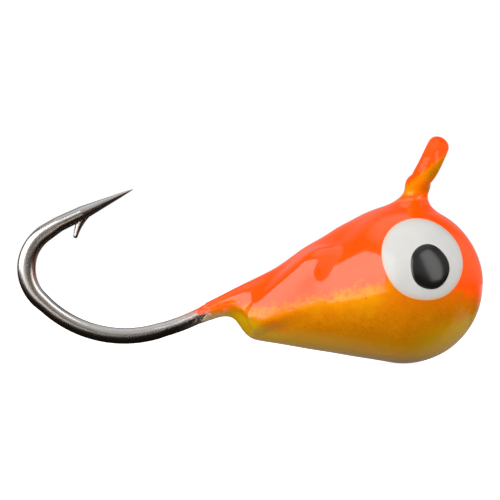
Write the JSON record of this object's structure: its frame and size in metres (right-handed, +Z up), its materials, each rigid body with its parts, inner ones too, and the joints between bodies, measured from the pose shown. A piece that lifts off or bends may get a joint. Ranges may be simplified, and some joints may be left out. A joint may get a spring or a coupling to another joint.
{
  "type": "ice fishing jig",
  "caption": "Small weighted fishing jig: a painted teardrop head with raised eyes, soldered on a barbed wire hook whose line eye stands up from the top of the head.",
  "frame": {"origin": "centre of the line eye's hole, where the line holds the jig", "axes": "+X from the hook's bend to the front of the head, +Z up from the head to the line eye, +Y to the jig's left"},
  "size_m": [0.0149, 0.0054, 0.0072],
  "materials": {
    "hook_wire": "dark nickel plate, polished, with fine drawing lines",
    "tungsten": "sintered tungsten alloy, matt grey",
    "solder": "tin solder, satin",
    "white_primer": "white powder primer, satin",
    "gold_paint": "gold pearl paint under clear gloss",
    "orange_paint": "fluorescent orange paint under clear gloss",
    "eye_white": "white enamel dot, gloss",
    "pupil_black": "black enamel dot, gloss"
  },
  "bodies": {
    "root": {"hook": "hook_wire", "head_core": "tungsten", "solder_fill": "solder", "primer_coat": "white_primer", "base_coat": "gold_paint", "top_coat": "orange_paint", "eye_white_left": "eye_white", "eye_white_right": "eye_white", "pupil_left": "pupil_black", "pupil_right": "pupil_black"}
  },
  "joints": []
}
